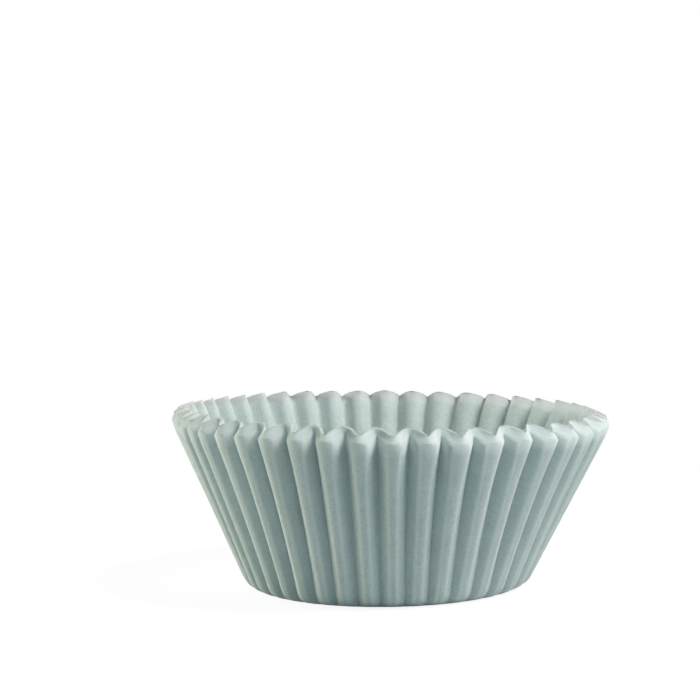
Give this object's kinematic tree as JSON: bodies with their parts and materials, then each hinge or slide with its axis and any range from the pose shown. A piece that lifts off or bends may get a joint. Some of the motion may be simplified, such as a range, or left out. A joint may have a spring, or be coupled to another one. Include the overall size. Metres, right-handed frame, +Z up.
{
  "type": "cupcake liner",
  "caption": "Round pleated paper baking cup with a flat base, a wall that flares in deep flutes, and a scalloped, bevelled rim.",
  "frame": {"origin": "centre of the base's underside, on the surface that the cup stands on", "axes": "+Z up along the cup's axis, out of its mouth; a crest of the wall faces -Y"},
  "size_m": [0.08, 0.08, 0.0329],
  "materials": {
    "paper": "matt greaseproof paper, cool white"
  },
  "bodies": {
    "root": {"liner": "paper"}
  },
  "joints": []
}
